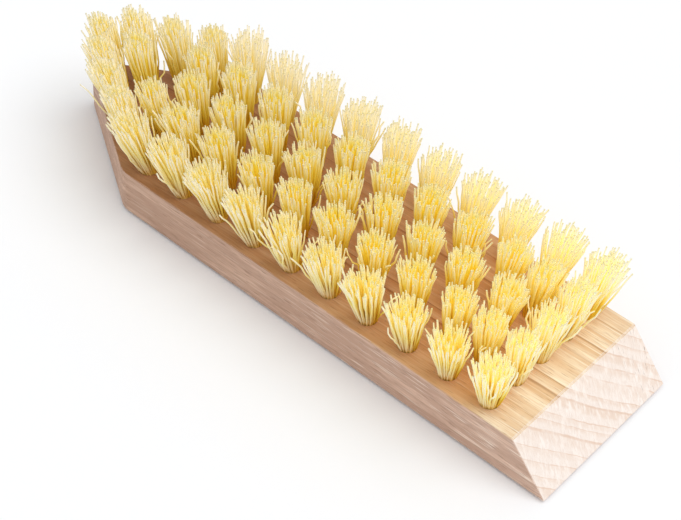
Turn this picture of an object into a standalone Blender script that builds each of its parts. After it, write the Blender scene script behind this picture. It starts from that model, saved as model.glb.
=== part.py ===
"""A mud brush: one block of hardwood, pointed at the nose and bevelled at the butt, and drilled for rows
of tufts of stiff plant fibre. It lies on its flat back with the bristles up, nose towards -X."""

import math
import random

import bmesh
import bpy
from mathutils import Vector

mm = 0.001

# Block
block_width = 55 * mm
block_thickness = 15 * mm
side_length = 143 * mm  # straight side, measured on the tufted face from the butt to the shoulder
nose_length = 43 * mm  # from the shoulders to the point where the two nose cuts would meet
butt_run = 12.7 * mm  # how far the back reaches past the face at the bevelled butt
shoulder_radius = 5 * mm
shoulder_segments = 2
nose_tip_radius = 3 * mm
tip_segments = 6
arris_width = 0.7 * mm
arris_segments = 2
sharp_angle = math.radians(30)  # edges that turn by more than this are eased
saw_overrun = 10 * mm  # how far a blank runs past the finished block before it is sawn

# Tuft holes, drilled from the face
hole_radius = 2.7 * mm
hole_depth = 8.5 * mm  # at full width, along the hole
drill_point = 1.6 * mm  # height of the cone that the drill leaves
drill_overrun = 5 * mm
hole_sides = 12

# Layout of the holes on the face
side_inset = 6 * mm
butt_inset = 12 * mm
column_pitch = 14 * mm
shoulder_inset = 4 * mm  # least distance from the last column to the shoulder
second_column_share = 0.75  # where an inner row's second hole lies, as a share of column_pitch
stagger_share = 0.5  # how far an inner row's other holes lie between the outer row's
filler_share = 0.4  # how far an inner row's last hole lies past the last column
filler_shift = 1.75 * mm  # how far that hole moves towards the middle row
nose_inset = 6 * mm
nose_first_step = 7 * mm
nose_step = 10.8 * mm
nose_steps = 3
tip_inset = 13.2 * mm  # from the point where the nose cuts would meet to the hole at the tip

# Lean of the tufts
butt_lean = math.radians(5)
shoulder_lean = math.radians(-14)
lean_growth = 1.5
outer_row_lean = math.radians(11)
inner_row_lean = math.radians(4.5)
nose_leans = (math.radians(18), math.radians(21.5), math.radians(25))
nose_turn = math.radians(15)  # how far a nose tuft's lean turns outwards from straight ahead
tip_lean = math.radians(21)

# Tufts
root_clearance = 0.3 * mm
root_stand = 1.5 * mm  # how far the packed root stands out of its hole before the strands part
fold_share = 0.8  # width of the root at its fold, as a share of its full width
bristle_height = 19 * mm  # from the face to the trimmed ends
trim_spread = 1.2 * mm
strand_count = 8
strand_gap = 0.14 * mm
flare_radius = 5.2 * mm
flare_spread = 0.4 * mm
tuft_gap = 0.6 * mm  # least gap between the flares of two tufts
heart_radius = 0.9 * mm  # how far the inner corners of the strands stand from the axis at the tips
twist_spread = math.radians(7)
end_gap_share = 0.22  # gap between neighbouring strands at their ends, as a share of one strand's sector

# How far each row lies from the middle of the block, as a share of the outer rows' distance
inner_share = 0.5
row_shares = {
    "near": -1,
    "near_inner": -inner_share,
    "middle": 0,
    "far_inner": inner_share,
    "far": 1,
}


def empty_the_file():
    for thing in list(bpy.data.objects):
        bpy.data.objects.remove(thing, do_unlink=True)


def new_collection(name):
    group = bpy.data.collections.new(name)
    bpy.context.scene.collection.children.link(group)
    return group


def new_material(name, color, roughness):
    material = bpy.data.materials.new(name)
    material.use_nodes = True
    shader = material.node_tree.nodes["Principled BSDF"]
    shader.inputs["Base Color"].default_value = (*color, 1)
    shader.inputs["Roughness"].default_value = roughness
    shader.inputs["Metallic"].default_value = 0
    material.diffuse_color = (*color, 1)
    return material


def object_from(bm, name, group, material=None):
    mesh = bpy.data.meshes.new(name)
    bm.to_mesh(mesh)
    bm.free()
    if material:
        mesh.materials.append(material)
    thing = bpy.data.objects.new(name, mesh)
    group.objects.link(thing)
    return thing


def saw(bm, point, normal):
    """Cut away what lies on the normal's side of a plane, and close the cut."""
    cut = bmesh.ops.bisect_plane(
        bm,
        geom=bm.verts[:] + bm.edges[:] + bm.faces[:],
        plane_co=point,
        plane_no=normal,
        clear_outer=True,
    )
    edges = [item for item in cut["geom_cut"] if isinstance(item, bmesh.types.BMEdge)]
    bmesh.ops.contextual_create(bm, geom=edges)


def upright_edges_at(bm, x):
    """The edges that stand square to the back at one distance along the block."""
    tolerance = arris_width / 2
    return [
        edge
        for edge in bm.edges
        if all(abs(end.co.x - x) < tolerance for end in edge.verts)
        and abs(edge.verts[0].co.z - edge.verts[1].co.z) > tolerance
    ]


def round_edges(bm, edges, radius, inner_angle, segments):
    """Round edges to a radius, where the two walls meet at inner_angle."""
    bmesh.ops.bevel(
        bm,
        geom=edges,
        offset=radius / math.tan(inner_angle / 2),
        offset_type="OFFSET",
        segments=segments,
        profile=0.5,
        affect="EDGES",
    )


nose_angle = math.atan2(block_width / 2, nose_length)  # between a nose cut and the block's length
shoulder_x = -side_length
nose_x = -side_length - nose_length
column_count = 1 + math.floor((side_length - butt_inset - shoulder_inset) / column_pitch)


def make_block(group, material, holes):
    """The block: a sawn blank with a pointed nose and a bevelled butt, eased arrises and drilled holes."""
    low_x = nose_x - saw_overrun
    high_x = butt_run + saw_overrun
    bm = bmesh.new()
    bmesh.ops.create_cube(bm, size=1)
    for vertex in bm.verts:
        vertex.co.x = (low_x + high_x) / 2 + vertex.co.x * (high_x - low_x)
        vertex.co.y *= block_width
        vertex.co.z = (vertex.co.z + 0.5) * block_thickness

    saw(bm, (0, 0, block_thickness), (block_thickness, 0, butt_run))
    for side in (-1, 1):
        saw(
            bm,
            (shoulder_x, side * block_width / 2, 0),
            (-math.sin(nose_angle), side * math.cos(nose_angle), 0),
        )

    round_edges(bm, upright_edges_at(bm, nose_x), nose_tip_radius, 2 * nose_angle, tip_segments)
    shoulders = upright_edges_at(bm, shoulder_x)
    round_edges(bm, shoulders, shoulder_radius, math.pi - nose_angle, shoulder_segments)
    bmesh.ops.recalc_face_normals(bm, faces=bm.faces)

    block = object_from(bm, "block", group, material)
    arris = block.modifiers.new("eased arrises", "BEVEL")
    arris.width = arris_width
    arris.segments = arris_segments
    arris.limit_method = "ANGLE"
    arris.angle_limit = sharp_angle
    drilling = block.modifiers.new("tuft holes", "BOOLEAN")
    drilling.operation = "DIFFERENCE"
    drilling.operand_type = "COLLECTION"
    drilling.collection = holes
    drilling.solver = "EXACT"
    return block


def drill_mesh():
    """A drill that points down from the mouth of a hole, with its shank above the face."""
    bm = bmesh.new()
    length = hole_depth + drill_overrun
    bmesh.ops.create_cone(
        bm,
        cap_ends=True,
        segments=hole_sides,
        radius1=hole_radius,
        radius2=hole_radius,
        depth=length,
    )
    bmesh.ops.translate(bm, verts=bm.verts, vec=(0, 0, length / 2 - hole_depth))
    floor = min(bm.faces, key=lambda face: face.calc_center_median().z)
    tip = bmesh.ops.poke(bm, faces=[floor])["verts"][0]
    tip.co.z -= drill_point
    mesh = bpy.data.meshes.new("drill")
    bm.to_mesh(mesh)
    bm.free()
    return mesh


def row_y(place):
    """Distance of a row from the middle of the block, for a place from -1 (near side) to 1 (far side)."""
    return place * (block_width / 2 - side_inset)


def lean_along(x):
    """Forward lean of a face tuft: back at the butt, and growing forwards to the shoulder."""
    share = (-butt_inset - x) / (side_length - butt_inset)
    return butt_lean + (shoulder_lean - butt_lean) * max(share, 0) ** lean_growth


def direction(along, across):
    """Unit vector that leans by two angles from upright."""
    return Vector((math.tan(along), math.tan(across), 1)).normalized()


def column_x(share):
    """Distance along the block of a column, counted from the butt in shares of the pitch."""
    return -butt_inset - share * column_pitch


def face_tufts():
    """Name, place on the face and direction of each tuft in the five rows."""
    side_leans = {0: 0, inner_share: inner_row_lean, 1: outer_row_lean}
    staggered = [number + stagger_share for number in range(1, column_count - 1)]
    for row, place in row_shares.items():
        y = row_y(place)
        spots = [(column_x(share), y) for share in range(column_count)]
        if abs(place) == inner_share:
            spots = [(column_x(share), y) for share in (0, second_column_share, *staggered)]
            inwards = math.copysign(filler_shift, place)
            spots.append((column_x(column_count - 1 + filler_share), y - inwards))
        lean = math.copysign(side_leans[abs(place)], place)
        for number, (x, y) in enumerate(reversed(spots), 1):
            yield f"tuft_{row}_{number:02d}", x, y, direction(lean_along(x), lean)


def nose_tufts():
    """The tufts that follow the two nose cuts, and the one at the tip."""
    turn_x = shoulder_x + (nose_inset / math.cos(nose_angle) - side_inset) / math.tan(nose_angle)
    for side, word in ((-1, "near"), (1, "far")):
        for number in range(nose_steps):
            run = nose_first_step + number * nose_step
            x = turn_x - run * math.cos(nose_angle)
            y = side * (row_y(1) - run * math.sin(nose_angle))
            slope = math.tan(nose_leans[number])
            lean = Vector((-slope * math.cos(nose_turn), side * slope * math.sin(nose_turn), 1))
            yield f"tuft_nose_{word}_{number + 1}", x, y, lean.normalized()
    yield "tuft_nose_tip", nose_x + tip_inset, 0, direction(-tip_lean, 0)


def end_point(x, y, upward):
    """Where a tuft's axis meets the plane of the trimmed ends."""
    return Vector((x, y)) + upward.xy * (bristle_height / upward.z)


def flare_of(place, places):
    """Radius of a tuft's flare, held back where a neighbour's ends are near."""
    _, x, y, upward = place
    own = end_point(x, y, upward)
    nearest = min((end_point(*other[1:]) - own).length for other in places if other is not place)
    return min(flare_radius, (nearest - tuft_gap) / 2 - flare_spread)


def aim(thing, x, y, upward):
    """Put an object's origin at a hole's mouth and its +Z along the hole."""
    thing.location = (x, y, block_thickness)
    thing.rotation_mode = "QUATERNION"
    thing.rotation_quaternion = Vector((0, 0, 1)).rotation_difference(upward)


def strand_end(corners, spin, height, reach, plumb):
    """Move a strand's three end corners out, two to the rim of the flare and one near the tuft's heart,
    and trim them at a height above the face. Plumb is the face's normal as the tuft has it."""
    sector = 2 * math.pi / strand_count
    middle = sum((corner.co for corner in corners), Vector()) / len(corners)
    middle_angle = math.atan2(middle.y, middle.x) + spin
    inner = min(corners, key=lambda corner: corner.co.xy.length)
    for corner in corners:
        if corner is inner:
            angle, radius = middle_angle, heart_radius
        else:
            turn = math.atan2(corner.co.y, corner.co.x) + spin - middle_angle
            turn = math.atan2(math.sin(turn), math.cos(turn))
            angle = middle_angle + math.copysign(sector * (1 - end_gap_share) / 2, turn)
            radius = reach
        across = Vector((radius * math.cos(angle), radius * math.sin(angle)))
        along = (height - across.dot(plumb.xy)) / plumb.z
        corner.co = Vector((*across, along))


def tuft_mesh(name, upward, flare, seed):
    """A bundle folded in its hole: a packed root, narrower at its fold, and strands that flare apart.
    A tuft that leans to the far side is made as its mirror image, then mirrored."""
    chance = random.Random(seed)
    root_radius = hole_radius * math.cos(math.pi / hole_sides) - root_clearance
    root_length = hole_depth - root_clearance + root_stand
    plumb = Vector((-upward.x, abs(upward.y), upward.z))

    bm = bmesh.new()
    bmesh.ops.create_cone(
        bm,
        cap_ends=True,
        segments=strand_count,
        radius1=root_radius * fold_share,
        radius2=root_radius,
        depth=root_length,
    )
    bmesh.ops.translate(bm, verts=bm.verts, vec=(0, 0, root_stand - root_length / 2))

    crown = max(bm.faces, key=lambda face: face.calc_center_median().z)
    sectors = bmesh.ops.poke(bm, faces=[crown])["faces"]
    bmesh.ops.inset_individual(bm, faces=sectors, thickness=strand_gap, use_even_offset=True)
    sectors = sorted(sectors, key=lambda face: math.atan2(*face.calc_center_median().yx))
    for sector in sectors:
        end = bmesh.ops.extrude_discrete_faces(bm, faces=[sector])["faces"][0]
        spin = chance.uniform(-twist_spread, twist_spread) / 2
        height = bristle_height + chance.uniform(-trim_spread, trim_spread)
        reach = flare + chance.uniform(-flare_spread, flare_spread)
        strand_end(list(end.verts), spin, height, reach, plumb)

    if upward.y > 0:
        bmesh.ops.scale(bm, verts=bm.verts, vec=(1, -1, 1))
    bmesh.ops.recalc_face_normals(bm, faces=bm.faces)
    mesh = bpy.data.meshes.new(name)
    bm.to_mesh(mesh)
    bm.free()
    return mesh


def make_tuft(group, material, origin, place, flare):
    """One tuft; its seed is the same as that of its mirror image on the other half."""
    name, x, y, upward = place
    mesh = tuft_mesh(name, upward, flare, seed=name.replace("far", "near"))
    mesh.materials.append(material)
    tuft = bpy.data.objects.new(name, mesh)
    group.objects.link(tuft)
    aim(tuft, x, y, upward)
    tuft.parent = origin
    return tuft


def reach_along(things):
    """Lowest and highest X of some objects' points, with their modifiers."""
    finished = bpy.context.evaluated_depsgraph_get()
    shapes = [thing.evaluated_get(finished) for thing in things]
    points = [(shape.matrix_world @ vertex.co).x for shape in shapes for vertex in shape.data.vertices]
    return min(points), max(points)


def main():
    empty_the_file()
    group = new_collection("mud_brush")
    cutters = new_collection("cutters")
    wood = new_material("wood", (0.62, 0.42, 0.27), 0.6)
    fibre = new_material("fibre", (0.93, 0.82, 0.45), 0.55)
    origin = bpy.data.objects.new("origin", None)
    group.objects.link(origin)

    places = [*face_tufts(), *nose_tufts()]
    drill = drill_mesh()
    for number, (_, x, y, upward) in enumerate(places, 1):
        cutter = bpy.data.objects.new(f"drill_{number:02d}", drill)
        cutters.objects.link(cutter)
        cutter.hide_render = True
        cutter.display_type = "WIRE"
        aim(cutter, x, y, upward)
        cutter.parent = origin

    block = make_block(group, wood, cutters)
    block.parent = origin
    tufts = [make_tuft(group, fibre, origin, place, flare_of(place, places)) for place in places]

    low_x, high_x = reach_along([block, *tufts])
    origin.location.x = -(low_x + high_x) / 2
    print(len(tufts), "tufts,", len(tufts) * strand_count, "strands")


main()
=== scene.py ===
# %% [markdown]
# # A mud brush
# The real brush is one block of light hardwood with 60 tufts of stiff plant fibre pulled into holes in
# its face. The solid model holds the block, its holes and a plain bundle for each of 59 tufts, all at
# their real size. This notebook dresses that model: the view and the light first, then a finer block
# with grain in it, and last the tufts, grown strand by strand.

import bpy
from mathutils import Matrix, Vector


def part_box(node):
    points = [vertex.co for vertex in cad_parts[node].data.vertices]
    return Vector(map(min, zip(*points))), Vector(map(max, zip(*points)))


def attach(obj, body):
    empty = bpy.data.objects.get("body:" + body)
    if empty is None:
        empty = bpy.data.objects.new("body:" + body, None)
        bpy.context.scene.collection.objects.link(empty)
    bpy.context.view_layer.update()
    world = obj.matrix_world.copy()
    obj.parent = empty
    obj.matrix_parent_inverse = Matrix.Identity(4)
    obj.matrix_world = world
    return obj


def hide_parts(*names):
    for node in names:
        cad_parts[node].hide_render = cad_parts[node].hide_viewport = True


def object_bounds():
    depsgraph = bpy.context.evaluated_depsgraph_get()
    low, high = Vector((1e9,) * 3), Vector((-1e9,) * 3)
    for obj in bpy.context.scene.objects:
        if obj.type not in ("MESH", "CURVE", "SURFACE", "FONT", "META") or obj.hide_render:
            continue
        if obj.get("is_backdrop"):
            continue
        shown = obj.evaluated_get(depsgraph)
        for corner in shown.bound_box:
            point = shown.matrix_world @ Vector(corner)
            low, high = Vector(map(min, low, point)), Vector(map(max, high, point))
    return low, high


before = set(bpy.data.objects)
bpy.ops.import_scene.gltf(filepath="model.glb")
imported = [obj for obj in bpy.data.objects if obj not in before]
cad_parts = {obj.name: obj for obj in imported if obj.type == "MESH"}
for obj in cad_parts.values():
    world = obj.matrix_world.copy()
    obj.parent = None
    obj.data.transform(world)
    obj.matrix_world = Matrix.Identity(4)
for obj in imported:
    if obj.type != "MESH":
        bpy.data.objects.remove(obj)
solid_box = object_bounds()
print("the solid model has", len(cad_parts), "pieces")

# %% Modules and the unit of length
import math

import bmesh
import bpy
from mathutils import Quaternion, Vector, noise

mm = 0.001
scene = bpy.context.scene


# %% New objects and meshes
def new_object(name, data):
    """An object that shows a mesh, a camera or a lamp in the scene."""
    thing = bpy.data.objects.new(name, data)
    scene.collection.objects.link(thing)
    return thing


def mesh_from(bm, name):
    """A mesh with the shape that was built up in a BMesh, which is then let go."""
    mesh = bpy.data.meshes.new(name)
    bm.to_mesh(mesh)
    bm.free()
    return mesh


# %% [markdown]
# ## The block's sizes
# The block lies flat on its back with the tufted face up, its pointed nose towards -X and its slanted
# butt towards +X. Width and thickness are read from the solid. The lengths are measured on the tufted
# face, from the edge where the butt's slant begins.

# %% Block sizes
block_low, block_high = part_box("block")
face_z = block_high.z
half_width = block_high.y
side_length = 143 * mm
nose_length = 43 * mm
butt_run = 12.7 * mm  # how far the back reaches past the face at the butt
point_trim = 0.26 * mm  # what easing takes off the back's far edge
butt_x = block_high.x + point_trim - butt_run
shoulder_x = butt_x - side_length
nose_x = shoulder_x - nose_length
nose_angle = math.atan2(half_width, nose_length)
print(f"the face is {face_z / mm:.1f} mm up and ends at x = {butt_x / mm:.1f} mm")

# %% [markdown]
# ## The camera
# A long lens from about half a metre, high on the near side, shows the brush as a product picture does.
# A camera is easiest to place round the point that it looks at: an azimuth and an elevation give the
# direction back to the camera, and a small roll tips the picture.

# %% Camera
camera_target = Vector((butt_x - 73.7 * mm, -half_width + 17.2 * mm, face_z))
camera_distance = 513.2 * mm
camera_azimuth = math.radians(38.54)
camera_elevation = math.radians(46.13)
camera_roll = math.radians(3.95)
camera_lens = 97.45  # on a sensor 36 mm wide


def towards(azimuth, elevation):
    """Unit vector from the object to a viewer or a lamp. Azimuth 0 is -Y, and 90 degrees is +X."""
    level = math.cos(elevation)
    return Vector((math.sin(azimuth) * level, -math.cos(azimuth) * level, math.sin(elevation)))


camera_back = towards(camera_azimuth, camera_elevation)
camera = new_object("camera", bpy.data.cameras.new("camera"))
camera.data.lens = camera_lens
camera.location = camera_target + camera_back * camera_distance
camera.rotation_mode = "QUATERNION"
camera_turn = Quaternion((0, 0, 1), camera_roll)
camera.rotation_quaternion = (-camera_back).to_track_quat("-Z", "Y") @ camera_turn
scene.camera = camera
print("camera at", [round(value / mm) for value in camera.location], "mm")

# %% [markdown]
# ## Helpers for node trees
# Shaders and Geometry Nodes are both built from small boxes with wires between them. A few helpers keep
# that readable: one adds a node, sets it up and feeds each input with a value or with another node's
# output, and the others wrap the sums and blends that come back again and again.

# %% Node helpers
def enabled(sockets, name):
    """The socket in use with a name: a node keeps one for each of its data types."""
    return next(socket for socket in sockets if socket.name == name and socket.enabled)


def feed(tree, socket, value):
    """Wire an output to a socket, or set the socket's own value."""
    if isinstance(value, bpy.types.NodeSocket):
        tree.links.new(value, socket)
    else:
        socket.default_value = value


def add(tree, kind, inputs=(), **settings):
    """A new node. Inputs come by name in a dictionary, or in order in a tuple."""
    node = tree.nodes.new(kind)
    for name, value in settings.items():
        setattr(node, name, value)
    if isinstance(inputs, dict):
        for name, value in inputs.items():
            feed(tree, enabled(node.inputs, name), value)
    else:
        for socket, value in zip(node.inputs, inputs):
            feed(tree, socket, value)
    return node


def math_of(tree, operation, *values):
    """The result of a Math node."""
    return add(tree, "ShaderNodeMath", values, operation=operation).outputs["Value"]


def vector_of(tree, operation, *values):
    """The vector that a Vector Math node gives."""
    return add(tree, "ShaderNodeVectorMath", values, operation=operation).outputs["Vector"]


def scaled(tree, vector, factor):
    """A vector times a number."""
    inputs = {"Vector": vector, "Scale": factor}
    return add(tree, "ShaderNodeVectorMath", inputs, operation="SCALE").outputs["Vector"]


def axes_of(tree, vector):
    """A vector's X, Y and Z."""
    return add(tree, "ShaderNodeSeparateXYZ", {"Vector": vector}).outputs


def vector_from(tree, **axes):
    """A vector from its X, Y and Z. One that is left out is 0."""
    return add(tree, "ShaderNodeCombineXYZ", axes).outputs["Vector"]


def ramp(tree, value, start, end, low=0.0, high=1.0):
    """A smooth step from low to high while a value goes from start to end."""
    inputs = {"Value": value, "From Min": start, "From Max": end, "To Min": low, "To Max": high}
    node = add(tree, "ShaderNodeMapRange", inputs, interpolation_type="SMOOTHSTEP")
    return node.outputs["Result"]


def mixed(tree, factor, a, b, blend="MIX"):
    """A blend of two colours."""
    inputs = {"Factor": factor, "A": a, "B": b}
    node = add(tree, "ShaderNodeMix", inputs, data_type="RGBA", blend_type=blend)
    return enabled(node.outputs, "Result")


def noise_of(tree, vector, detail=2.0, roughness=0.5):
    """A noise between 0 and 1, whose grain is as large as one unit of its vector."""
    inputs = {"Vector": vector, "Scale": 1.0, "Detail": detail, "Roughness": roughness}
    return add(tree, "ShaderNodeTexNoise", inputs).outputs["Fac"]


def new_group(name, kind, inputs, outputs):
    """A node group with named inputs and outputs, and the sockets inside that they lead to."""
    group = bpy.data.node_groups.new(name, kind)
    for title, (socket_type, value) in inputs.items():
        socket = group.interface.new_socket(title, in_out="INPUT", socket_type=socket_type)
        if value is not None:
            socket.default_value = value
    for title, socket_type in outputs.items():
        group.interface.new_socket(title, in_out="OUTPUT", socket_type=socket_type)
    given = group.nodes.new("NodeGroupInput").outputs
    result = group.nodes.new("NodeGroupOutput").inputs
    return group, given, result


def new_material(name, roughness, specular=0.35):
    material = bpy.data.materials.new(name)
    material.use_nodes = True
    shader = material.node_tree.nodes["Principled BSDF"]
    shader.inputs["Roughness"].default_value = roughness
    shader.inputs["Specular IOR Level"].default_value = specular
    return material, material.node_tree, shader


# %% [markdown]
# ## Floor and light
# The picture has a white ground with a soft grey shadow. An even white dome gives most of the light, and
# one soft lamp, high over the far corner of the butt, makes the butt bright and leaves the near side in
# the dome's light alone. Two soft sources are enough: more of them would wash the form out. The floor is
# nearly white and glows a little to the camera alone, so that its far parts reach full white and its
# shadow stays. Light that gets into a tuft bounces many times before it comes out, which makes the heart
# of a tuft golden. Four bounces, the usual limit, would leave it grey, so the limit is raised.

# %% Floor
floor_reach = 2000 * mm  # from the middle to each side
floor_gap = 0.8 * mm  # keeps the floor clear of the block's back
floor_white = (0.893, 0.905, 0.925, 1)  # cool, because the tufts and the wood throw warm light on it
floor_glow = 0.06


def seen_directly(tree):
    """1 for a ray from the camera, or one that a mirror or a glass passed on, and 0 for all others."""
    path = add(tree, "ShaderNodeLightPath").outputs
    mirror_or_glass = math_of(tree, "MAXIMUM", path["Is Glossy Ray"], path["Is Transmission Ray"])
    return math_of(tree, "MAXIMUM", path["Is Camera Ray"], mirror_or_glass)


def make_floor():
    bm = bmesh.new()
    bmesh.ops.create_grid(bm, x_segments=1, y_segments=1, size=floor_reach)
    bmesh.ops.translate(bm, verts=bm.verts, vec=(0, 0, -floor_gap))
    mesh = mesh_from(bm, "floor")
    material, tree, shader = new_material("floor", roughness=1, specular=0)
    shader.inputs["Base Color"].default_value = floor_white
    shader.inputs["Emission Color"].default_value = (1, 1, 1, 1)
    glow = math_of(tree, "MULTIPLY", seen_directly(tree), floor_glow)
    tree.links.new(glow, shader.inputs["Emission Strength"])
    mesh.materials.append(material)
    floor = new_object("floor", mesh)
    floor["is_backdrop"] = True


make_floor()
print("floor", 2 * floor_reach, "m across")

# %% Dome and lamp
dome_level = 0.68
lamp_level = 0.41  # light on a surface square to the lamp, where the dome alone would give dome_level
lamp_azimuth = math.radians(115)
lamp_elevation = math.radians(65)
lamp_softness = math.radians(52)
light_bounces = 16


def light_dome():
    world = bpy.data.worlds.new("dome")
    world.use_nodes = True
    scene.world = world
    tree = world.node_tree
    lit = tree.nodes["Background"]
    lit.inputs["Color"].default_value = (1, 1, 1, 1)
    strength = ramp(tree, seen_directly(tree), 0.0, 1.0, dome_level, 1.0)
    tree.links.new(strength, lit.inputs["Strength"])


def hang_lamp():
    lamp = new_object("lamp", bpy.data.lights.new("lamp", "SUN"))
    lamp.data.energy = math.pi * lamp_level
    lamp.data.angle = lamp_softness
    lamp.rotation_mode = "QUATERNION"
    lamp.rotation_quaternion = towards(lamp_azimuth, lamp_elevation).to_track_quat("Z", "Y")


light_dome()
hang_lamp()
scene.cycles.max_bounces = light_bounces
scene.cycles.diffuse_bounces = light_bounces
scene.view_settings.view_transform = "Standard"
print("light on the floor:", round(dome_level + lamp_level * math.sin(lamp_elevation), 2))

# %% [markdown]
# ## Where each tuft stands
# Every tuft has its own hole and its own lean. The solid bundles already hold both: the ring at a
# bundle's fold and the ring where it leaves the block lie on its axis. So the axis is read from the
# mesh, and a hole's mouth is where that axis meets the face.

# %% Read the tufts
fold_reach = 4 * mm  # the fold lies deeper than this below the face
crown_reach = 6 * mm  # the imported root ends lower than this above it


def centre_of(points):
    return sum(points, Vector()) / len(points)


def read_tuft(node):
    """The mouth of a tuft's hole, the direction of its axis, and how far its ends reach from the axis."""
    corners = {tuple(round(value, 6) for value in vertex.co) for vertex in node.data.vertices}
    points = [Vector(corner) for corner in sorted(corners)]
    fold = centre_of([point for point in points if point.z < face_z - fold_reach])
    crown = centre_of([point for point in points if abs(point.z - face_z) < crown_reach
                       and point.z > face_z - fold_reach])
    lean = (crown - fold).normalized()
    mouth = fold + lean * ((face_z - fold.z) / lean.z)
    ends = [point - mouth for point in points if point.z > face_z + crown_reach]
    reach = max((end - lean * end.dot(lean)).length for end in ends)
    return mouth, lean, reach


tufts = {name: read_tuft(node) for name, node in sorted(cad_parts.items()) if name != "block"}
leans = [math.degrees(lean.angle(Vector((0, 0, 1)))) for _, lean, _ in tufts.values()]
print(len(tufts), "tufts, leaning", round(min(leans), 1), "to", round(max(leans), 1), "degrees")

# %% [markdown]
# ## The sixtieth tuft
# The solid model has room for 59 tufts. The real nose has one more, on the middle line behind the tuft
# at the tip. Nothing stands for it in the solid model, so it is added to the list here, and it gets its
# own hole and its own bristles below, as the others do.

# %% Add the tuft on the nose's middle line
tip_step = 13.6 * mm  # from the hole at the tip to the one behind it
middle_lean = math.radians(20.5)
middle_side_lean = math.radians(6)


def middle_tuft():
    tip_mouth, _, tip_reach = tufts["tuft_nose_tip"]
    lean = Vector((-math.tan(middle_lean), math.tan(middle_side_lean), 1)).normalized()
    return tip_mouth + Vector((tip_step, 0, 0)), lean, tip_reach


tufts["tuft_nose_middle"] = middle_tuft()
print("now", len(tufts), "tufts")

# %% [markdown]
# ## The block
# The real block is sawn from a plank: two cuts make the nose, a slanted one the butt. Its arrises are
# rubbed down with sandpaper, a little unevenly, and the holes are drilled last. The same steps work
# here: saw a box with planes, bevel the edges, nudge the rubbed arrises in and out by a hair, and cut
# the holes with a Boolean.

# %% Block values
saw_overrun = 10 * mm
shoulder_radius = 5 * mm
shoulder_segments = 5
nose_tip_radius = 3 * mm
nose_tip_segments = 10
arris_width = 0.7 * mm
arris_segments = 4
arris_wear = 0.12 * mm
wear_spacing = 4 * mm
sharp_angle = math.radians(30)
hole_radius = 2.7 * mm
hole_depth = 8.5 * mm
drill_point = 1.6 * mm
drill_overrun = 5 * mm
rim_width = 0.06 * mm  # how deep the edge of a hole's mouth is broken
rim_radius = hole_radius + 2 * rim_width
hole_sides = 32
merge_distance = mm / 1000


# %% Saw a blank
def saw(bm, point, normal):
    """Cut away what lies on the normal's side of a plane, and close the cut."""
    everything = bm.verts[:] + bm.edges[:] + bm.faces[:]
    cut = bmesh.ops.bisect_plane(bm, geom=everything, plane_co=point, plane_no=normal, clear_outer=True)
    rim = [item for item in cut["geom_cut"] if isinstance(item, bmesh.types.BMEdge)]
    bmesh.ops.contextual_create(bm, geom=rim)


def round_corner(bm, x, inner_angle, radius, segments):
    """Round the upright edges that stand at one distance along the block."""
    uprights = [
        edge
        for edge in bm.edges
        if all(abs(end.co.x - x) < arris_width for end in edge.verts)
        and abs(edge.verts[0].co.z - edge.verts[1].co.z) > arris_width
    ]
    setback = radius / math.tan(inner_angle / 2)
    bmesh.ops.bevel(bm, geom=uprights, offset=setback, segments=segments, profile=0.5, affect="EDGES")


def sawn_blank():
    low_x = nose_x - saw_overrun
    high_x = block_high.x + saw_overrun
    bm = bmesh.new()
    bmesh.ops.create_cube(bm, size=1)
    for vertex in bm.verts:
        vertex.co.x = (low_x + high_x) / 2 + vertex.co.x * (high_x - low_x)
        vertex.co.y *= 2 * half_width
        vertex.co.z = (vertex.co.z + 0.5) * face_z
    saw(bm, (butt_x, 0, face_z), (face_z, 0, butt_run))
    for side in (-1, 1):
        across = (-math.sin(nose_angle), side * math.cos(nose_angle), 0)
        saw(bm, (shoulder_x, side * half_width, 0), across)
    round_corner(bm, nose_x, 2 * nose_angle, nose_tip_radius, nose_tip_segments)
    round_corner(bm, shoulder_x, math.pi - nose_angle, shoulder_radius, shoulder_segments)
    bmesh.ops.recalc_face_normals(bm, faces=bm.faces)
    return bm


# %% Rub down the arrises
def evaluated_mesh(thing):
    """A plain mesh of an object with its modifiers applied."""
    finished = thing.evaluated_get(bpy.context.evaluated_depsgraph_get())
    return bpy.data.meshes.new_from_object(finished)


def add_loops(bm):
    """Cut the block across at even steps, so that its long arrises have points to move."""
    steps = round((block_high.x - block_low.x) / wear_spacing)
    for step in range(1, steps):
        x = block_low.x + step * wear_spacing
        everything = bm.verts[:] + bm.edges[:] + bm.faces[:]
        bmesh.ops.bisect_plane(bm, geom=everything, plane_co=(x, 0, 0), plane_no=(1, 0, 0))


def wear_arrises(mesh):
    """Move the points between two flats in by an uneven hair."""
    bm = bmesh.new()
    bm.from_mesh(mesh)
    flat_area = wear_spacing * wear_spacing
    for vertex in bm.verts:
        if all(face.calc_area() < flat_area for face in vertex.link_faces):
            unevenness = 0.5 + 0.5 * noise.noise(vertex.co / wear_spacing)
            vertex.co -= vertex.normal * arris_wear * unevenness
    bm.to_mesh(mesh)
    bm.free()


def eased_blank():
    bm = sawn_blank()
    add_loops(bm)
    blank = new_object("blank", mesh_from(bm, "blank"))
    easing = blank.modifiers.new("eased arrises", "BEVEL")
    easing.width = arris_width
    easing.segments = arris_segments
    easing.limit_method = "ANGLE"
    easing.angle_limit = sharp_angle
    blank.data = evaluated_mesh(blank)
    blank.modifiers.clear()
    wear_arrises(blank.data)
    return blank


blank = eased_blank()
print("blank:", len(blank.data.polygons), "faces")

# %% Drill the holes
drill_profile = (
    (0, -hole_depth - drill_point),
    (hole_radius, -hole_depth),
    (hole_radius, -rim_width),
    (rim_radius, rim_width),
    (rim_radius, drill_overrun),
    (0, drill_overrun),
)


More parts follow.
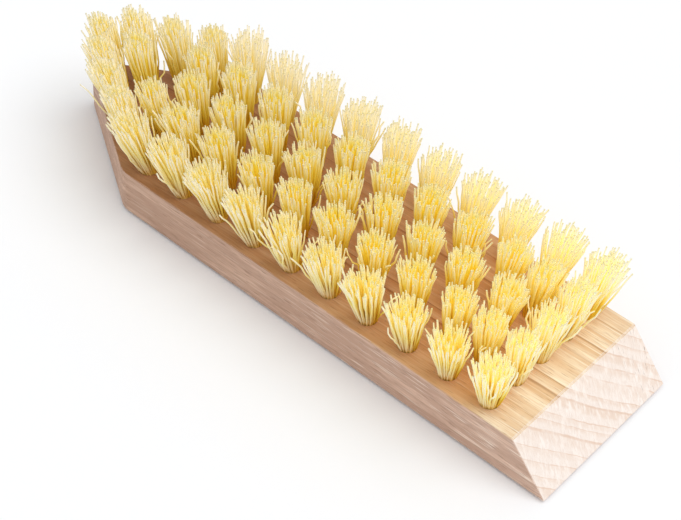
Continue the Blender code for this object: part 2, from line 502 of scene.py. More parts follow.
def drill_mesh():
    """The drill and its countersink, turned from a profile, with the hole's mouth at the origin."""
    bm = bmesh.new()
    points = [bm.verts.new((radius, 0, height)) for radius, height in drill_profile]
    edges = [bm.edges.new(pair) for pair in zip(points, points[1:])]
    bmesh.ops.spin(bm, geom=points + edges, axis=(0, 0, 1), angle=2 * math.pi, steps=hole_sides)
    bmesh.ops.remove_doubles(bm, verts=bm.verts, dist=merge_distance)
    bmesh.ops.recalc_face_normals(bm, faces=bm.faces)
    return mesh_from(bm, "drill")


def all_drills():
    """Every hole's drill in one mesh, each along its own tuft's axis."""
    drill = drill_mesh()
    bm = bmesh.new()
    for mouth, lean, _ in tufts.values():
        first = len(bm.verts)
        bm.from_mesh(drill)
        bm.verts.ensure_lookup_table()
        turn = Vector((0, 0, 1)).rotation_difference(lean)
        for vertex in bm.verts[first:]:
            vertex.co = mouth + turn @ vertex.co
    return new_object("drills", mesh_from(bm, "drills"))


def drilled_block(blank):
    drills = all_drills()
    drilling = blank.modifiers.new("holes", "BOOLEAN")
    drilling.object = drills
    drilling.operation = "DIFFERENCE"
    mesh = evaluated_mesh(blank)
    bpy.data.objects.remove(blank)
    bpy.data.objects.remove(drills)
    mesh.name = "wood_block"
    mesh.shade_smooth()
    mesh.set_sharp_from_angle(angle=sharp_angle)
    return new_object("wood_block", mesh)


block = drilled_block(blank)
print("block:", len(block.data.polygons), "faces")

# %% [markdown]
# ## Wood, as a solid
# Wood grain is not painted on: growth rings run through the whole block, and each face cuts them another
# way. So the rings are one field in space. They climb across the block at a slant, which gives long
# stripes on the face and the sides and slanted bands on the butt. Two groups hold what every face
# shares: the rings themselves, and the fine fibres and pores between them.

# %% Growth rings
grain_slant = 0.035  # how far the fibres run aslant, for each unit along the block
grain_turn = math.atan(grain_slant)
ring_heading = (-grain_slant, 1.0, 1.31)  # the direction in which the rings follow each other
sweep_size = (60, 25, 25)  # of the rings' long bends, in millimetres
ripple_size = (14, 2.5, 2.5)  # and of their small ones
pace_rate = 0.55  # how fast good and bad years follow each other
pace_swing = 2.2  # how many rings those years shift the pattern by
latewood_starts = (0.15, 0.7)  # the part of a year over which the wood darkens
latewood_ends = (1.0, 0.84)  # and over which it turns pale again
line_starts = (0.8, 0.89)  # the same for the thin dark line before the year's end
line_ends = (0.97, 0.92)


def grain_place(group):
    """Object coordinates in millimetres, turned so that X runs along the fibres."""
    place = add(group, "ShaderNodeTexCoord").outputs["Object"]
    inputs = {"Vector": place, "Rotation": (0, 0, -grain_turn), "Scale": (1 / mm, 1 / mm, 1 / mm)}
    return add(group, "ShaderNodeMapping", inputs).outputs["Vector"]


def make_growth_rings():
    """Bands that deepen slowly into dark latewood and end at once, as a year's growth does."""
    inputs = {
        "Ring Width": ("NodeSocketFloat", 5.0),
        "Sweep": ("NodeSocketFloat", 2.5),
        "Ripple": ("NodeSocketFloat", 0.8),
    }
    outputs = {name: "NodeSocketFloat" for name in ("Latewood", "Dark Line", "Tone")}
    group, given, result = new_group("growth rings", "ShaderNodeTree", inputs, outputs)
    place = scaled(group, add(group, "ShaderNodeTexCoord").outputs["Object"], 1 / mm)
    sweep = noise_of(group, vector_of(group, "DIVIDE", place, sweep_size), 1.0)
    ripple = noise_of(group, vector_of(group, "DIVIDE", place, ripple_size), 1.0)
    bend = math_of(group, "MULTIPLY", math_of(group, "SUBTRACT", sweep, 0.5), given["Sweep"])
    shiver = math_of(group, "MULTIPLY", math_of(group, "SUBTRACT", ripple, 0.5), given["Ripple"])
    climb = add(group, "ShaderNodeVectorMath", (place, ring_heading), operation="DOT_PRODUCT")
    distance = math_of(group, "ADD", climb.outputs["Value"], math_of(group, "ADD", bend, shiver))
    years = math_of(group, "DIVIDE", distance, given["Ring Width"])
    pace = add(group, "ShaderNodeTexNoise", {"W": years, "Scale": pace_rate}, noise_dimensions="1D")
    years = math_of(group, "ADD", years, math_of(group, "MULTIPLY", pace.outputs["Fac"], pace_swing))
    year = math_of(group, "FLOOR", years)
    season = math_of(group, "FRACT", years)
    tone = add(group, "ShaderNodeTexWhiteNoise", {"W": year}, noise_dimensions="1D").outputs["Value"]

    def in_season(starts, ends):
        """1 in one part of each year and 0 in the rest, with a soft start and end."""
        return math_of(group, "MULTIPLY", ramp(group, season, *starts), ramp(group, season, *ends))

    feed(group, result["Latewood"], in_season(latewood_starts, latewood_ends))
    feed(group, result["Dark Line"], in_season(line_starts, line_ends))
    feed(group, result["Tone"], tone)
    return group


growth_rings = make_growth_rings()
print("group made:", growth_rings.name)

# %% Fibres and pores
fibre_marks = {  # each mark's stretch of the grain's size, its detail, and the noise where it fades in
    "Streaks": ((1, 1, 1), 3.0, 0.3, 0.7),
    "Pores": ((0.3, 0.6, 0.6), 1.0, 0.58, 0.72),
    "Threads": ((1.7, 0.8, 0.8), 1.0, 0.57, 0.66),
    "Patches": ((1.9, 6, 6), 2.0, 0.4, 0.6),
}


def make_wood_fibres():
    """Fine streaks along the grain, short dark pores, pale threads, and long patches of tone."""
    inputs = {"Along": ("NodeSocketFloat", 16.0), "Across": ("NodeSocketFloat", 0.5)}
    outputs = {name: "NodeSocketFloat" for name in fibre_marks}
    group, given, result = new_group("wood fibres", "ShaderNodeTree", inputs, outputs)
    place = grain_place(group)
    size = vector_from(group, X=given["Along"], Y=given["Across"], Z=given["Across"])
    for name, (stretch, detail, start, end) in fibre_marks.items():
        length = vector_of(group, "MULTIPLY", size, stretch)
        drawn_out = noise_of(group, vector_of(group, "DIVIDE", place, length), detail)
        feed(group, result[name], ramp(group, drawn_out, start, end))
    return group


wood_fibres = make_wood_fibres()
print("group made:", wood_fibres.name)

# %% Tone and painted shade along the block
bare_end = butt_x - 4 * mm  # the bare wood by the butt has no painted shade as far as this
shaded_start = butt_x - 19 * mm  # from here on the painted shade among the tufts is at its full depth


def make_tone_and_shade_along_plank():
    """0 at the butt and 1 at the nose, and 0 by the butt and 1 from the first tufts on."""
    outputs = {name: "NodeSocketFloat" for name in ("Towards Nose", "Tuft Shade")}
    group, given, result = new_group("tone and shade along the plank", "ShaderNodeTree", {}, outputs)
    x = axes_of(group, add(group, "ShaderNodeTexCoord").outputs["Object"])["X"]
    feed(group, result["Towards Nose"], ramp(group, x, butt_x, shoulder_x))
    feed(group, result["Tuft Shade"], ramp(group, x, bare_end, shaded_start))
    return group


tone_and_shade_along_plank = make_tone_and_shade_along_plank()
print("group made:", tone_and_shade_along_plank.name)

# %% [markdown]
# ## The finishes of the block
# The tufted face is the warmest, cream with tan stripes at the butt and a deeper brown among the tufts,
# which is painted shade of the tufts and of their warm bounce. The sides are sawn along the grain and look
# pinker and duller. The butt shows the end of every fibre and is nearly white. All of them place the
# groups above with their own colours.

# %% Helpers for finishes
def grouped(tree, group, **values):
    """A group placed in a tree, with its own values."""
    node = add(tree, "ShaderNodeGroup", node_tree=group)
    for name, value in values.items():
        node.inputs[name].default_value = value
    return node.outputs


def raised(tree, shader, height, depth, strength):
    """Small relief, by a Bump node on the shader's normal."""
    bump = add(tree, "ShaderNodeBump", {"Height": height, "Distance": depth, "Strength": strength})
    tree.links.new(bump.outputs["Normal"], shader.inputs["Normal"])


def part_of(tree, mask, amount):
    return math_of(tree, "MULTIPLY", mask, amount)


# %% Long grain
palest_ring = 0.35  # how deep the palest ring's latewood is, where the darkest one's is 1
lined_rings = (0.4, 0.8)  # the tones of ring over which the dark line comes in
line_depth = 0.7
pore_depth = 0.7  # as a share of how strongly a face is streaked
threads_at_nose = 0.4  # what is left there of the pale threads


def long_grain(name, early, late, dark, pale, streak, tuft_shade, towards_nose):
    """Wood cut along its fibres: striped by the rings, streaked by the fibres, darkened among the tufts by
    painted shade, and deeper to the nose, partly by its own tone and partly by painted shade.
    """
    material, tree, shader = new_material(name, roughness=0.62)
    rings = grouped(tree, growth_rings)
    fibres = grouped(tree, wood_fibres)
    tone = grouped(tree, tone_and_shade_along_plank)
    depth = part_of(tree, rings["Latewood"], ramp(tree, rings["Tone"], 0.0, 1.0, palest_ring, 1.0))
    color = mixed(tree, depth, early, late)
    color = mixed(tree, part_of(tree, fibres["Patches"], streak), color, late)
    threads = ramp(tree, tone["Towards Nose"], 0.0, 1.0, streak, threads_at_nose * streak)
    color = mixed(tree, part_of(tree, fibres["Threads"], threads), color, pale)
    color = mixed(tree, part_of(tree, fibres["Streaks"], streak), color, late)
    line = part_of(tree, rings["Dark Line"], ramp(tree, rings["Tone"], *lined_rings, 0.0, line_depth))
    pores = part_of(tree, fibres["Pores"], pore_depth * streak)
    color = mixed(tree, math_of(tree, "MAXIMUM", line, pores), color, dark)
    # painted shade: the tufts' shade and warm bounce darken the wood among them
    color = mixed(tree, tone["Tuft Shade"], color, tuft_shade, "MULTIPLY")
    # darker towards the nose: partly the wood's own tone, partly painted shade where less light reaches
    color = mixed(tree, tone["Towards Nose"], color, towards_nose, "MULTIPLY")
    tree.links.new(color, shader.inputs["Base Color"])
    relief = math_of(tree, "SUBTRACT", fibres["Streaks"], fibres["Pores"])
    raised(tree, shader, relief, depth=0.05 * mm, strength=0.5)
    return material


face_wood = long_grain(
    "tufted_face",
    early=(0.97, 0.87, 0.70, 1),
    late=(0.75, 0.52, 0.31, 1),
    dark=(0.42, 0.22, 0.09, 1),
    pale=(1.0, 0.93, 0.80, 1),
    streak=0.62,
    tuft_shade=(0.88, 0.68, 0.53, 1),
    towards_nose=(0.57, 0.48, 0.43, 1),
)
side_wood = long_grain(
    "sawn_sides",
    early=(0.86, 0.61, 0.47, 1),
    late=(0.59, 0.38, 0.28, 1),
    dark=(0.36, 0.21, 0.14, 1),
    pale=(1.0, 0.86, 0.74, 1),
    streak=0.75,
    tuft_shade=(0.97, 0.95, 0.94, 1),
    towards_nose=(0.89, 0.87, 0.84, 1),
)
bored_wood = long_grain(
    "bored_holes",
    early=(0.60, 0.36, 0.18, 1),
    late=(0.45, 0.25, 0.11, 1),
    dark=(0.25, 0.12, 0.05, 1),
    pale=(0.65, 0.42, 0.24, 1),
    streak=0.3,
    tuft_shade=(1, 1, 1, 1),
    towards_nose=(0.8, 0.8, 0.8, 1),
)
print("long grain finishes:", face_wood.name, side_wood.name, bored_wood.name)

# %% End grain
saw_slope = -1.2  # how steeply the saw's marks run up the butt, in radians
checks_start = 0.35 * half_width  # small drying checks show from here to the far side
end_palest_ring = 0.5  # as palest_ring is for the long grain
speckle_depth = 0.35
fuzz_depth = 0.35
saw_marks = {  # each mark's size in mm, of which the last two lie up and across the cut, and where it shows
    "nap": ((4, 3.5, 1.1), 0.42, 0.68),
    "patches of nap": ((30, 14, 12), 0.3, 0.7),
    "breaks": ((30, 9, 7), 0.35, 0.6),
    "fuzz": ((2, 1.6, 0.3), 0.5, 0.68),
    "checks": ((12, 3.0, 0.45), 0.64, 0.69),
}
end_colors = {
    "early": (0.92, 0.82, 0.75, 1),
    "late": (0.84, 0.68, 0.57, 1),
    "speckle": (0.80, 0.66, 0.57, 1),
    "nap": (0.97, 0.89, 0.83, 1),
    "line": (0.74, 0.52, 0.39, 1),
    "fuzz": (0.70, 0.55, 0.46, 1),
    "check": (0.40, 0.30, 0.25, 1),
}


def end_grain():
    """Wood cut across its fibres: pale, with slanted bands, a soft nap, a fine speckle and few checks."""
    material, tree, shader = new_material("end_grain", roughness=0.75, specular=0.25)
    rings = grouped(tree, growth_rings, Sweep=3.0)
    fibres = grouped(tree, wood_fibres, Along=0.4, Across=0.25)
    place = add(tree, "ShaderNodeTexCoord").outputs["Object"]

    def strokes(mark):
        """A mark of the saw: noise drawn out up the cut."""
        size, start, end = saw_marks[mark]
        inputs = {"Vector": place, "Rotation": (saw_slope, 0, 0), "Scale": (1 / mm, 1 / mm, 1 / mm)}
        turned = add(tree, "ShaderNodeMapping", inputs).outputs["Vector"]
        return ramp(tree, noise_of(tree, vector_of(tree, "DIVIDE", turned, size), 3.0, 0.6), start, end)

    depth = part_of(tree, rings["Latewood"], ramp(tree, rings["Tone"], 0.0, 1.0, end_palest_ring, 1.0))
    color = mixed(tree, depth, end_colors["early"], end_colors["late"])
    color = mixed(tree, part_of(tree, fibres["Streaks"], speckle_depth), color, end_colors["speckle"])
    nap = part_of(tree, strokes("nap"), ramp(tree, strokes("patches of nap"), 0.0, 1.0, 0.4, 0.9))
    color = mixed(tree, nap, color, end_colors["nap"])
    line = part_of(tree, rings["Dark Line"], ramp(tree, strokes("breaks"), 0.0, 1.0, 0.05, 0.65))
    color = mixed(tree, line, color, end_colors["line"])
    color = mixed(tree, part_of(tree, strokes("fuzz"), fuzz_depth), color, end_colors["fuzz"])
    checked = ramp(tree, axes_of(tree, place)["Y"], checks_start, half_width)
    checks = part_of(tree, strokes("checks"), checked)
    color = mixed(tree, checks, color, end_colors["check"])
    tree.links.new(color, shader.inputs["Base Color"])
    raised(tree, shader, fibres["Streaks"], depth=0.04 * mm, strength=0.4)
    return material


butt_wood = end_grain()
print("end grain finish:", butt_wood.name)

# %% [markdown]
# ## Which face gets which wood
# A face's own direction says how it was cut. The butt leans up towards +X, the face looks straight up,
# and the walls of the holes are whatever lies below the face inside a hole's mouth.

# %% Give the block its finishes
finishes = [side_wood, face_wood, butt_wood, bored_wood]
clear_of_back = 1 * mm  # no hole reaches lower than this
clear_of_face = rim_width / 4
looks_that_way = 0.6  # a face looks along an axis when its normal has more than this of it


def near_a_hole(point):
    """Whether a point lies inside one of the drilled holes."""
    for mouth, lean, _ in tufts.values():
        offset = point - mouth
        depth = offset.dot(lean)
        if depth < rim_width and (offset - lean * depth).length < rim_radius:
            return True
    return False


def finish_of(normal, centre):
    """The wood that a face of the block shows."""
    if near_a_hole(centre) and clear_of_back < centre.z < face_z - clear_of_face:
        return bored_wood
    if normal.x > looks_that_way:
        return butt_wood
    if normal.z > looks_that_way:
        return face_wood
    return side_wood


def finish_block(block):
    mesh = block.data
    mesh.materials.clear()
    for material in finishes:
        mesh.materials.append(material)
    for polygon in mesh.polygons:
        polygon.material_index = finishes.index(finish_of(polygon.normal, polygon.center))
    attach(block, "root")
    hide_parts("block")


finish_block(block)
print("block finished")

# %% [markdown]
# ## A tuft of bristles, as a rule
# A tuft is a bundle of straight fibres squeezed into a hole. Below the face they lie packed and
# parallel. Above it they spring apart, each a little its own way, and all are trimmed at one height. A
# few stray outwards. One Geometry Nodes tree holds that rule. It draws one line, copies it, and gives
# every copy two places on a sunflower disc: one at the hole's mouth and one at the trimmed end.

# %% Values of the fibre
strands_per_tuft = 98
strand_points = 9
strand_sides = 5
golden_angle = math.pi * (3 - math.sqrt(5))
strand_radius = 0.285 * mm
end_taper = 0.2  # how much thinner a strand is at its end
root_squeeze = 0.15 * mm  # how far the outer strands press into the wall of the hole
root_radius = hole_radius - strand_radius + root_squeeze
start_depth = 2 * mm
trim_height = 19.3 * mm
trim_spread = 1.1 * mm
crown_drop = 1.5 * mm  # how much lower the outermost strands end
flare_growth = 1.06  # loose strands reach further out than the solid bundle's ends
outer_flare_growth = 1.2  # the outer rows have room to spread
kink_size = 1.8 * mm
kinks = 3.0  # how many bends a strand has, about
kink_step = 1.37  # keeps the bends of neighbouring strands and tufts apart
clump_size = 3.2 * mm
clump_pull = 2.4 * mm
stray_share = 0.08
stray_drop = 5 * mm
stray_kink = 2.0  # how much more than the others a stray bends
side_limit = half_width + 4.6 * mm  # no strand bends out further than this
side_softness = 2 * mm
strand_chances = {  # the limits between which the strands of a tuft differ
    "straying": (0.0, 1.0),
    "reach": (0.85, 1.05),
    "stray's reach": (0.3, 0.7),
    "turn": (-0.25, 0.25),
    "trim": (-1.0, 1.0),
    "parting": (0.85, 1.3),
    "tone": (0.0, 1.0),
    "thickness": (0.8, 1.15),
    "stray's drop": (0.2, 1.0),
}


# %% The tree of a tuft
def make_tuft_tree(material):
    vectors = ("Mouth", "Lean", "Crown Shift", "Way Out")
    numbers = {
        "Flare Radius": None,
        "Openness": None,
        "Root Radius": root_radius,
        "Start Depth": start_depth,
        "Trim Height": trim_height,
        "Trim Spread": trim_spread,
        "Crown Drop": crown_drop,
        "Strand Radius": strand_radius,
        "End Taper": end_taper,
        "Kink": kink_size,
        "Clump Size": clump_size,
        "Clump Pull": clump_pull,
        "Stray Share": stray_share,
        "Stray Drop": stray_drop,
        "Side Limit": side_limit,
    }
    inputs = {name: ("NodeSocketVector", None) for name in vectors}
    inputs |= {name: ("NodeSocketFloat", value) for name, value in numbers.items()}
    inputs |= {"Strands": ("NodeSocketInt", strands_per_tuft), "Seed": ("NodeSocketInt", None)}
    outputs = {"Geometry": "NodeSocketGeometry"}
    tree, given, result = new_group("tuft of bristles", "GeometryNodeTree", inputs, outputs)

    def times(*values):
        product = values[0]
        for value in values[1:]:
            product = math_of(tree, "MULTIPLY", product, value)
        return product

    def plus(a, b):
        return math_of(tree, "ADD", a, b)

    def minus(a, b):
        return math_of(tree, "SUBTRACT", a, b)

    def chance(name):
        """A number between a chance's two limits, the same all along one strand."""
        low, high = strand_chances[name]
        salt = 1 + list(strand_chances).index(name)
        inputs = {"Min": low, "Max": high, "ID": number, "Seed": plus(given["Seed"], salt)}
        return enabled(add(tree, "FunctionNodeRandomValue", inputs).outputs, "Value")

    def wander(vector, size):
        """A random vector that changes smoothly from place to place, up to about half a size long."""
        color = add(tree, "ShaderNodeTexNoise", {"Vector": vector, "Scale": 1.0, "Detail": 1.0})
        centred = vector_of(tree, "SUBTRACT", color.outputs["Color"], (0.5, 0.5, 0.5))
        return scaled(tree, centred, size)

    def on_disc(radius, angle):
        """A point of a disc square to the tuft's axis."""
        x = times(radius, math_of(tree, "COSINE", angle))
        y = times(radius, math_of(tree, "SINE", angle))
        inputs = {"Vector": vector_from(tree, X=x, Y=y), "Rotation": turn}
        return add(tree, "FunctionNodeRotateVector", inputs).outputs["Vector"]

    # one line, copied for every strand
    line = add(tree, "GeometryNodeCurvePrimitiveLine").outputs["Curve"]
    line = add(tree, "GeometryNodeResampleCurve", {"Curve": line, "Count": strand_points}).outputs["Curve"]
    inputs = {"Geometry": line, "Amount": given["Strands"]}
    copies = add(tree, "GeometryNodeDuplicateElements", inputs, domain="SPLINE")
    number = copies.outputs["Duplicate Index"]
    along = add(tree, "GeometryNodeSplineParameter").outputs["Factor"]
    aligned = add(tree, "FunctionNodeAlignRotationToVector", {"Vector": given["Lean"]}, axis="Z")
    turn = aligned.outputs["Rotation"]

    # how near the rim a strand stands, and whether it strays
    rim = math_of(tree, "SQRT", math_of(tree, "DIVIDE", plus(number, 0.5), given["Strands"]))
    strays = math_of(tree, "LESS_THAN", chance("straying"), given["Stray Share"])
    stray = times(strays, rim)

    # its places at the mouth and at the trimmed end, and how far it stands on the side that faces out
    angle = times(number, golden_angle)
    root = on_disc(times(given["Root Radius"], rim), angle)
    inputs = (vector_of(tree, "NORMALIZE", root), given["Way Out"])
    facing = add(tree, "ShaderNodeVectorMath", inputs, operation="DOT_PRODUCT").outputs["Value"]
    outside = times(rim, math_of(tree, "MAXIMUM", facing, 0.0))
    straying = plus(times(stray, chance("stray's reach")), 1.0)
    reach = times(given["Flare Radius"], rim, chance("reach"), straying)
    end = on_disc(reach, plus(angle, chance("turn")))
    clump_place = scaled(tree, end, math_of(tree, "DIVIDE", 1.0, given["Clump Size"]))
    clump_place = vector_of(tree, "ADD", clump_place, vector_from(tree, X=given["Seed"]))
    clump = wander(clump_place, given["Clump Pull"])
    end = vector_of(tree, "ADD", end, vector_of(tree, "ADD", clump, given["Crown Shift"]))

    # how high it ends, and so how long it is
    height = plus(given["Trim Height"], times(given["Trim Spread"], chance("trim")))
    height = minus(height, times(given["Crown Drop"], rim, rim))
    height = minus(height, times(given["Stray Drop"], stray, chance("stray's drop")))
    height = minus(height, axes_of(tree, end)["Z"])
    length = math_of(tree, "DIVIDE", height, axes_of(tree, given["Lean"])["Z"])
    travel = minus(times(plus(length, given["Start Depth"]), along), given["Start Depth"])

    # where each of its points goes
    free = math_of(tree, "MAXIMUM", math_of(tree, "DIVIDE", travel, length), 0.0)
    parting = math_of(tree, "POWER", free, chance("parting"))
    side = add(tree, "ShaderNodeMix", {"Factor": parting, "A": root, "B": end}, data_type="VECTOR")
    wave = {"X": times(along, kinks), "Y": times(number, kink_step), "Z": times(given["Seed"], kink_step)}
    bend = times(given["Kink"], free, plus(times(stray, stray_kink), 1.0))
    sway = wander(vector_from(tree, **wave), bend)
    place = vector_of(tree, "ADD", given["Mouth"], scaled(tree, given["Lean"], travel))
    place = vector_of(tree, "ADD", place, vector_of(tree, "ADD", enabled(side.outputs, "Result"), sway))
    spot = axes_of(tree, place)
    y = math_of(tree, "SMOOTH_MIN", spot["Y"], given["Side Limit"], side_softness)
    y = math_of(tree, "SMOOTH_MAX", y, times(given["Side Limit"], -1.0), side_softness)
    place = vector_from(tree, X=spot["X"], Y=y, Z=spot["Z"])

    # the strand's skin
    strands = copies.outputs["Geometry"]
    kept = {
        "along": free,
        "tone": chance("tone"),
        "rim": rim,
        "open": given["Openness"],
        "outside": outside,
    }
    for name, value in kept.items():
        inputs = {"Geometry": strands, "Name": name, "Value": value}
        strands = add(tree, "GeometryNodeStoreNamedAttribute", inputs, domain="POINT").outputs["Geometry"]
    inputs = {"Geometry": strands, "Position": place}
    strands = add(tree, "GeometryNodeSetPosition", inputs).outputs["Geometry"]
    profile = add(tree, "GeometryNodeCurvePrimitiveCircle", {"Resolution": strand_sides, "Radius": 1.0})
    thickness = times(given["Strand Radius"], chance("thickness"))
    thickness = times(thickness, minus(1.0, times(given["End Taper"], free, free, free)))
    inputs = {
        "Curve": strands,
        "Profile Curve": profile.outputs["Curve"],
        "Scale": thickness,
        "Fill Caps": True,
    }
    pipes = add(tree, "GeometryNodeCurveToMesh", inputs).outputs["Mesh"]
    smooth = add(tree, "GeometryNodeSetShadeSmooth", {"Geometry": pipes}).outputs["Geometry"]
    real = add(tree, "GeometryNodeRealizeInstances", {"Geometry": smooth}).outputs["Geometry"]
    finished = add(tree, "GeometryNodeSetMaterial", {"Geometry": real, "Material": material})
    feed(tree, result["Geometry"], finished.outputs["Geometry"])
    return tree


# %% [markdown]
# ## The fibre's finish
# The fibre is pale straw, cream towards its cut end and golden deep in a tuft. Much of that is painted
# light and shade: the colours are paler where light reaches a strand, up the tuft's rim, on the side that
# faces out and in a tuft that stands open, and golden and darker where shade and warm bounce lie, deep in
# a tuft, at the hole and towards the nose. The tree stored how far up a strand each point lies, how near
# its strand is to the tuft's rim and to the side that faces out of the brush, how open the tuft stands,
# and a tone for each strand. The material blends its straw colours by these. Real fibre also passes light
# on from its far side. Here that is a faint golden glow, which fades towards the root, where a neighbour's
# shade lies, and stays in a tuft with light all round it.

# %% Fibre
# the fibre's colours; the root, the ring at the hole and the nose carry painted shade, the ends and the rim
# painted light
straw = {
    "root": (0.76, 0.44, 0.01, 1),
    "middle": (0.97, 0.82, 0.10, 1),
    "end inside": (1.0, 0.95, 0.60, 1),
    "end at rim": (1.0, 0.98, 0.87, 1),
    "rim": (1.0, 0.95, 0.70, 1),
    "warm": (0.93, 0.80, 0.22, 1),
    "open": (0.99, 0.95, 0.82, 1),
    "at hole": (0.78, 0.48, 0.06, 1),
    "cut inside": (0.89, 0.80, 0.27, 1),
    "cut at rim": (0.91, 0.86, 0.50, 1),
    "nose": (0.92, 0.90, 0.96, 1),
}
light_through = {
    "root": (0.06, 0.035, 0.002, 1),
    "end": (0.52, 0.47, 0.05, 1),
    "open": (0.66, 0.58, 0.07, 1),
}
warm_share = 0.2
outside_share = 0.4  # painted light: how pale a strand on the side that faces out is all the way down
open_light_share = 0.65
cut_start = 0.985  # the cut end's part of a strand's length starts here
glow_strength = 0.2


def make_fibre():
    material, tree, shader = new_material("fibre", roughness=0.65, specular=0.12)

    def stored(name):
        return add(tree, "ShaderNodeAttribute", attribute_name=name).outputs["Fac"]

    along, tone, rim = stored("along"), stored("tone"), stored("rim")
    open_stand, outside = stored("open"), stored("outside")

    # painted shade and bounce: golden and darker at the root, then straw, then cream, which starts lower at
    # the rim, where more light reaches
    color = mixed(tree, ramp(tree, along, 0.0, 0.5), straw["root"], straw["middle"])
    end = mixed(tree, ramp(tree, rim, 0.2, 0.8), straw["end inside"], straw["end at rim"])
    cream_start = ramp(tree, rim, 0.3, 1.0, 0.85, 0.5)
    color = mixed(tree, ramp(tree, along, cream_start, 1.0), color, end)

    # painted light: paler up the rim, and all the way down the side that faces out
    painted_light = math_of(tree, "MAXIMUM", ramp(tree, along, 0.3, 0.9), outside)
    color = mixed(tree, part_of(tree, ramp(tree, rim, 0.6, 1.0, 0.0, 0.5), painted_light), color, straw["rim"])

    # some strands a little warmer, and painted light makes those in the open paler
    color = mixed(tree, part_of(tree, ramp(tree, tone, 0.5, 1.0), warm_share), color, straw["warm"])
    pale = part_of(tree, open_stand, ramp(tree, along, 0.2, 0.8))
    pale = math_of(tree, "MAXIMUM", pale, part_of(tree, outside, outside_share))
    color = mixed(tree, pale, color, straw["open"])

    # painted shade: a golden-brown ring at the hole; the cut end, paler at the rim where light reaches it;
    # and painted shade towards the nose
    color = mixed(tree, ramp(tree, along, 0.0, 0.15, 0.7, 0.0), color, straw["at hole"])
    cut_end = mixed(tree, rim, straw["cut inside"], straw["cut at rim"])
    color = mixed(tree, ramp(tree, along, cut_start, 1.0), color, cut_end)
    nose = grouped(tree, tone_and_shade_along_plank)["Towards Nose"]
    color = mixed(tree, nose, color, straw["nose"], "MULTIPLY")
    tree.links.new(color, shader.inputs["Base Color"])

    # the light that comes through, none of it at the cut
    passed = mixed(tree, ramp(tree, along, 0.25, 0.9), light_through["root"], light_through["end"])
    all_round = math_of(tree, "POWER", open_stand, 2.0)
    passed = mixed(tree, part_of(tree, all_round, open_light_share), passed, light_through["open"])
    passed = mixed(tree, ramp(tree, along, 0.96, 1.0), passed, (0, 0, 0, 1))
    tree.links.new(passed, shader.inputs["Emission Color"])
    shader.inputs["Emission Strength"].default_value = glow_strength
    return material


fibre = make_fibre()
tuft_tree = make_tuft_tree(fibre)
print("tree made:", tuft_tree.name, "with", len(tuft_tree.nodes), "nodes")

# %% [markdown]
# ## Growing every tuft
# A modifier with the tree grows one tuft at a time, and its result is kept as a plain mesh, so that each
# tuft is a piece that stands for its own solid. A tuft's place, lean and spread come from the list above.
# Where its hole lies also says how open it stands to the light and which way faces out of the brush.
# Use has bent the crowns of three nose tufts aside.

# %% Openness of a tuft
outer_row = half_width - 8 * mm  # the holes further out than this are the outer rows'
edge_reach = 12.5 * mm  # a hole nearer than this to the block's outline stands at its edge
end_inset = 12 * mm  # from the face's end at the butt to the last tufts
open_depth = 26 * mm  # how far from the butt tufts still stand in the open
butt_openness = 0.75
edge_openness = 0.4


def way_out(mouth):
    """The way out of the block from a hole at its edge, and no way for a hole further in."""
    ways = {(1, 0, 0): butt_x - mouth.x}
    for side in (-1, 1):
        across = half_width - side * mouth.y
        ways[(0, side, 0)] = across
        nose_way = (-math.sin(nose_angle), side * math.cos(nose_angle), 0)
        ways[nose_way] = (mouth.x - shoulder_x) * math.sin(nose_angle) + across * math.cos(nose_angle)
    way = min(ways, key=ways.get)
    return way if ways[way] < edge_reach else (0, 0, 0)


def openness(mouth):
    """1 in the far row, which has light all round it, less near the butt and the edges, 0 far inside."""
    at_butt = butt_openness * (1 - (butt_x - end_inset - mouth.x) / open_depth)
    in_far_row = 1 if mouth.y > outer_row else 0
    at_edge = edge_openness if any(way_out(mouth)) else 0
    return max(at_butt, in_far_row, at_edge)


at_the_edge = [name for name, (mouth, _, _) in tufts.items() if any(way_out(mouth))]
print(len(at_the_edge), "tufts stand at the block's edge")


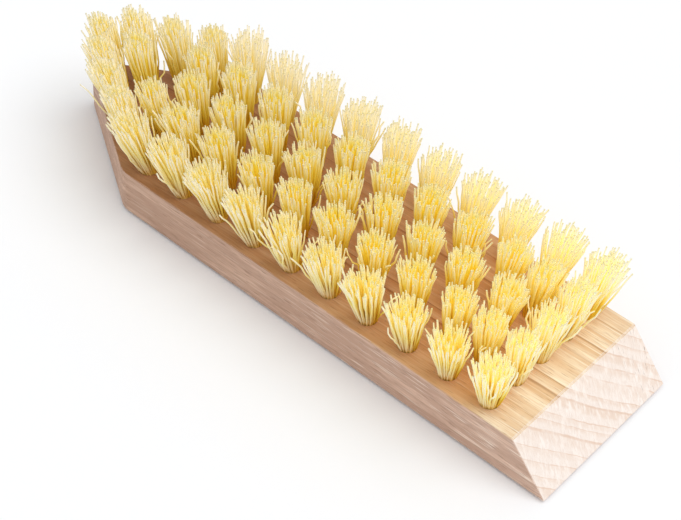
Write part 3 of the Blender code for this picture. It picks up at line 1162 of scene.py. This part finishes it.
# %% Grow the tufts
def set_inputs(modifier, tree, **values):
    """Set a Geometry Nodes modifier's inputs, which go by their sockets' identifiers."""
    for item in tree.interface.items_tree:
        key = item.name.replace(" ", "_")
        if item.in_out == "INPUT" and key in values:
            modifier[item.identifier] = values[key]


bent_crowns = {  # how far use has bent a tuft's crown aside
    "tuft_nose_near_3": (0.8 * mm, 0.8 * mm, 0),
    "tuft_nose_far_3": (-1.5 * mm, 1.0 * mm, 0),
    "tuft_nose_far_1": (0.8 * mm, 0, 0),
}
cap_angle = math.radians(80)  # a strand's flat end turns from its sides by more than this
first_seed = 5
seed_step = 10  # more than the chances of one tuft, so that no two tufts share a draw


def grow_tuft(number, name, stance):
    mouth, lean, reach = stance
    seedling = new_object("seedling", bpy.data.meshes.new("seedling"))
    growth = seedling.modifiers.new("growth", "NODES")
    growth.node_group = tuft_tree
    flare = reach * (outer_flare_growth if abs(mouth.y) > outer_row else flare_growth)
    bend = bent_crowns.get(name, (0, 0, 0))
    seed = first_seed + number * seed_step
    set_inputs(growth, tuft_tree, Mouth=mouth, Lean=lean, Flare_Radius=flare, Seed=seed)
    set_inputs(growth, tuft_tree, Crown_Shift=bend, Openness=openness(mouth), Way_Out=way_out(mouth))
    mesh = evaluated_mesh(seedling)
    bpy.data.objects.remove(seedling)
    mesh.set_sharp_from_angle(angle=cap_angle)
    mesh.name = name.replace("tuft", "bristles")
    tuft = new_object(mesh.name, mesh)
    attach(tuft, "root")
    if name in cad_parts:
        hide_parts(name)
    return tuft


bristles = [grow_tuft(number, name, stance) for number, (name, stance) in enumerate(tufts.items())]
print(len(bristles), "tufts,", sum(len(tuft.data.polygons) for tuft in bristles), "faces")

# %% [markdown]
# ## The size, once more
# The boxes of the dressed model and of the solid one are measured and printed.

# %% Measure the two boxes
visual_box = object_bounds()
sizes = {
    "solid": [list(corner) for corner in solid_box],
    "visual": [list(corner) for corner in visual_box],
}
for name, corners in sizes.items():
    print(name, [[round(value / mm, 2) for value in corner] for corner in corners])
